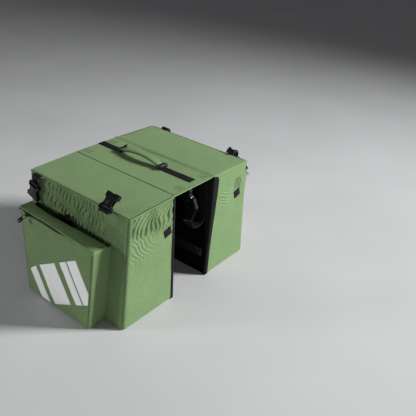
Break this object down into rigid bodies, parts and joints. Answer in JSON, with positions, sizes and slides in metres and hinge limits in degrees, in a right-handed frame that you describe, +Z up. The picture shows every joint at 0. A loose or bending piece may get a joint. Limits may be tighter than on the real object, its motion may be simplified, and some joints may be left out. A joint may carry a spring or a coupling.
{
  "type": "double pannier bag",
  "caption": "Two stiffened fabric side bags with lids and zipped outer pockets, joined by a bridge that lies on a rear rack, with rack straps and a carry handle.",
  "frame": {"origin": "on the floor under the middle of the two side bags", "axes": "+Z up, +X towards the back of the bicycle, left bag at -Y and right bag at +Y"},
  "size_m": [0.3316, 0.5766, 0.3191],
  "materials": {
    "green_fabric": "heavy plain-woven polyester, matt",
    "black_fabric": "black lining cloth over stiffening board",
    "webbing": "25 mm flat polypropylene webbing",
    "binding": "bias binding tape, stitched",
    "board": "hidden stiffening board",
    "buckle_plastic": "moulded acetal, satin",
    "zip_coil": "nylon coil zip on tape",
    "zip_metal": "black painted zinc slider",
    "print_white": "screen print on the pocket cloth",
    "thread": "black sewing thread",
    "light_thread": "pale edge stitching on the webbing"
  },
  "bodies": {
    "bridge": {"bridge_top": "green_fabric", "bridge_board": "board", "bridge_lining": "black_fabric", "carry_webbing": "webbing", "handle_keepers": "buckle_plastic", "strap_anchors": "webbing", "rear_rack_tab": "webbing", "rear_rack_socket": "buckle_plastic", "rear_rack_loop": "webbing", "front_rack_tab": "webbing", "front_rack_socket": "buckle_plastic", "front_rack_loop": "webbing"},
    "carry_handle": {"handle_grip": "green_fabric", "handle_webbing": "webbing"},
    "rear_plug": {"rear_rack_plug": "buckle_plastic", "rear_rack_tail": "webbing"},
    "front_plug": {"front_rack_plug": "buckle_plastic", "front_rack_tail": "webbing"},
    "left_bag": {"left_shell": "green_fabric", "left_back_panel": "black_fabric", "left_edge_binding": "binding", "left_floor_board": "board", "left_side_patches": "webbing", "left_low_strap": "webbing", "left_low_buckle": "buckle_plastic", "left_pocket_box": "green_fabric", "left_zip_tape": "zip_coil", "left_bag_tab": "webbing"},
    "left_lid": {"left_lid": "green_fabric", "left_lid_lining": "black_fabric"},
    "left_front_buckle_tab": {"left_front_tab": "webbing", "left_front_buckle": "buckle_plastic"},
    "left_rear_buckle_tab": {"left_rear_tab": "webbing", "left_rear_buckle": "buckle_plastic"},
    "left_pocket_flap": {"left_pocket_flap": "green_fabric"},
    "left_slider": {"left_zip_slider": "zip_metal"},
    "left_pull": {"left_zip_pull": "zip_metal"},
    "left_bag_buckle": {"left_bag_buckle": "buckle_plastic"},
    "right_bag": {"right_shell": "green_fabric", "right_back_panel": "black_fabric", "right_edge_binding": "binding", "right_floor_board": "board", "right_side_patches": "webbing", "right_low_strap": "webbing", "right_low_buckle": "buckle_plastic", "right_pocket_box": "green_fabric", "right_zip_tape": "zip_coil", "right_bag_tab": "webbing"},
    "right_lid": {"right_lid": "green_fabric", "right_lid_lining": "black_fabric", "right_front_tab": "webbing", "right_rear_tab": "webbing"},
    "right_front_buckle_tab": {"right_front_link": "webbing", "right_front_buckle": "buckle_plastic"},
    "right_rear_buckle_tab": {"right_rear_link": "webbing", "right_rear_buckle": "buckle_plastic"},
    "right_pocket_flap": {"right_pocket_flap": "green_fabric"},
    "right_slider": {"right_zip_slider": "zip_metal"},
    "right_pull": {"right_zip_pull": "zip_metal"},
    "right_bag_buckle": {"right_bag_buckle": "buckle_plastic"}
  },
  "joints": [
    {"name": "carry_handle_tip", "type": "hinge", "parent": "bridge", "child": "carry_handle", "pos_m": [-0.0165, 0.012, 0.29], "axis": [1, 0, 0], "range_deg": [-12, 12], "stiffness_Nm_per_rad": 0.03},
    {"name": "rear_plug_release", "type": "slide", "parent": "bridge", "child": "rear_plug", "axis": [0.2347, 0.2419, -0.9415], "range_m": [0, 0.022], "deforming": ["rear_rack_loop"]},
    {"name": "front_plug_release", "type": "slide", "parent": "bridge", "child": "front_plug", "axis": [-0.2347, -0.2419, -0.9415], "range_m": [0, 0.022], "deforming": ["front_rack_loop"]},
    {"name": "left_bag_fold", "type": "hinge", "parent": "bridge", "child": "left_bag", "pos_m": [0, -0.072, 0.287], "axis": [-1, 0, 0], "range_deg": [-3, 90]},
    {"name": "left_lid_open", "type": "hinge", "parent": "left_bag", "child": "left_lid", "pos_m": [0, -0.072, 0.287], "axis": [1, 0, 0], "range_deg": [-110, 0]},
    {"name": "left_front_buckle_swing", "type": "hinge", "parent": "left_lid", "child": "left_front_buckle_tab", "pos_m": [-0.121, -0.2086, 0.2815], "axis": [-1, 0, 0], "range_deg": [0, 120]},
    {"name": "left_rear_buckle_swing", "type": "hinge", "parent": "left_lid", "child": "left_rear_buckle_tab", "pos_m": [0.106, -0.212, 0.2815], "axis": [1, 0, 0], "range_deg": [0, 135]},
    {"name": "left_flap_open", "type": "hinge", "parent": "left_bag", "child": "left_pocket_flap", "pos_m": [0, -0.2283, 0.21568], "axis": [-0.9992, 0, 0.04], "range_deg": [0, 75]},
    {"name": "left_zip_slide", "type": "slide", "parent": "left_bag", "child": "left_slider", "axis": [0.9992, -0.0023, -0.04], "range_m": [-0.012, 0.2]},
    {"name": "left_pull_swing", "type": "hinge", "parent": "left_slider", "child": "left_pull", "pos_m": [-0.1, -0.27138, 0.21338], "axis": [-1, 0, 0], "range_deg": [-38, 60]},
    {"name": "left_bag_buckle_swing", "type": "hinge", "parent": "left_bag", "child": "left_bag_buckle", "pos_m": [-0.01429, -0.21376, 0.208], "axis": [-0.309, 0.0737, 0.9482], "range_deg": [0, 3]},
    {"name": "right_bag_fold", "type": "hinge", "parent": "bridge", "child": "right_bag", "pos_m": [0, 0.072, 0.287], "axis": [1, 0, 0], "range_deg": [-3, 90]},
    {"name": "right_lid_open", "type": "hinge", "parent": "right_bag", "child": "right_lid", "pos_m": [0, 0.072, 0.287], "axis": [-1, 0, 0], "range_deg": [-110, 0]},
    {"name": "right_rear_buckle_swing", "type": "hinge", "parent": "right_lid", "child": "right_rear_buckle_tab", "pos_m": [0.107, 0.214, 0.2935], "axis": [1, 0, 0], "range_deg": [0, 110]},
    {"name": "right_front_buckle_swing", "type": "hinge", "parent": "right_lid", "child": "right_front_buckle_tab", "pos_m": [-0.121, 0.214, 0.2865], "axis": [1, 0, 0], "range_deg": [0, 110]},
    {"name": "right_flap_open", "type": "hinge", "parent": "right_bag", "child": "right_pocket_flap", "pos_m": [0, 0.2283, 0.21568], "axis": [0.9992, 0, 0.04], "range_deg": [0, 75]},
    {"name": "right_zip_slide", "type": "slide", "parent": "right_bag", "child": "right_slider", "axis": [-0.9992, 0.0023, -0.04], "range_m": [-0.012, 0.2]},
    {"name": "right_pull_swing", "type": "hinge", "parent": "right_slider", "child": "right_pull", "pos_m": [0.1, 0.27138, 0.21338], "axis": [1, 0, 0], "range_deg": [-38, 60]},
    {"name": "right_bag_buckle_swing", "type": "hinge", "parent": "right_bag", "child": "right_bag_buckle", "pos_m": [0.01429, 0.21376, 0.208], "axis": [0.309, -0.0737, 0.9482], "range_deg": [0, 3]}
  ]
}
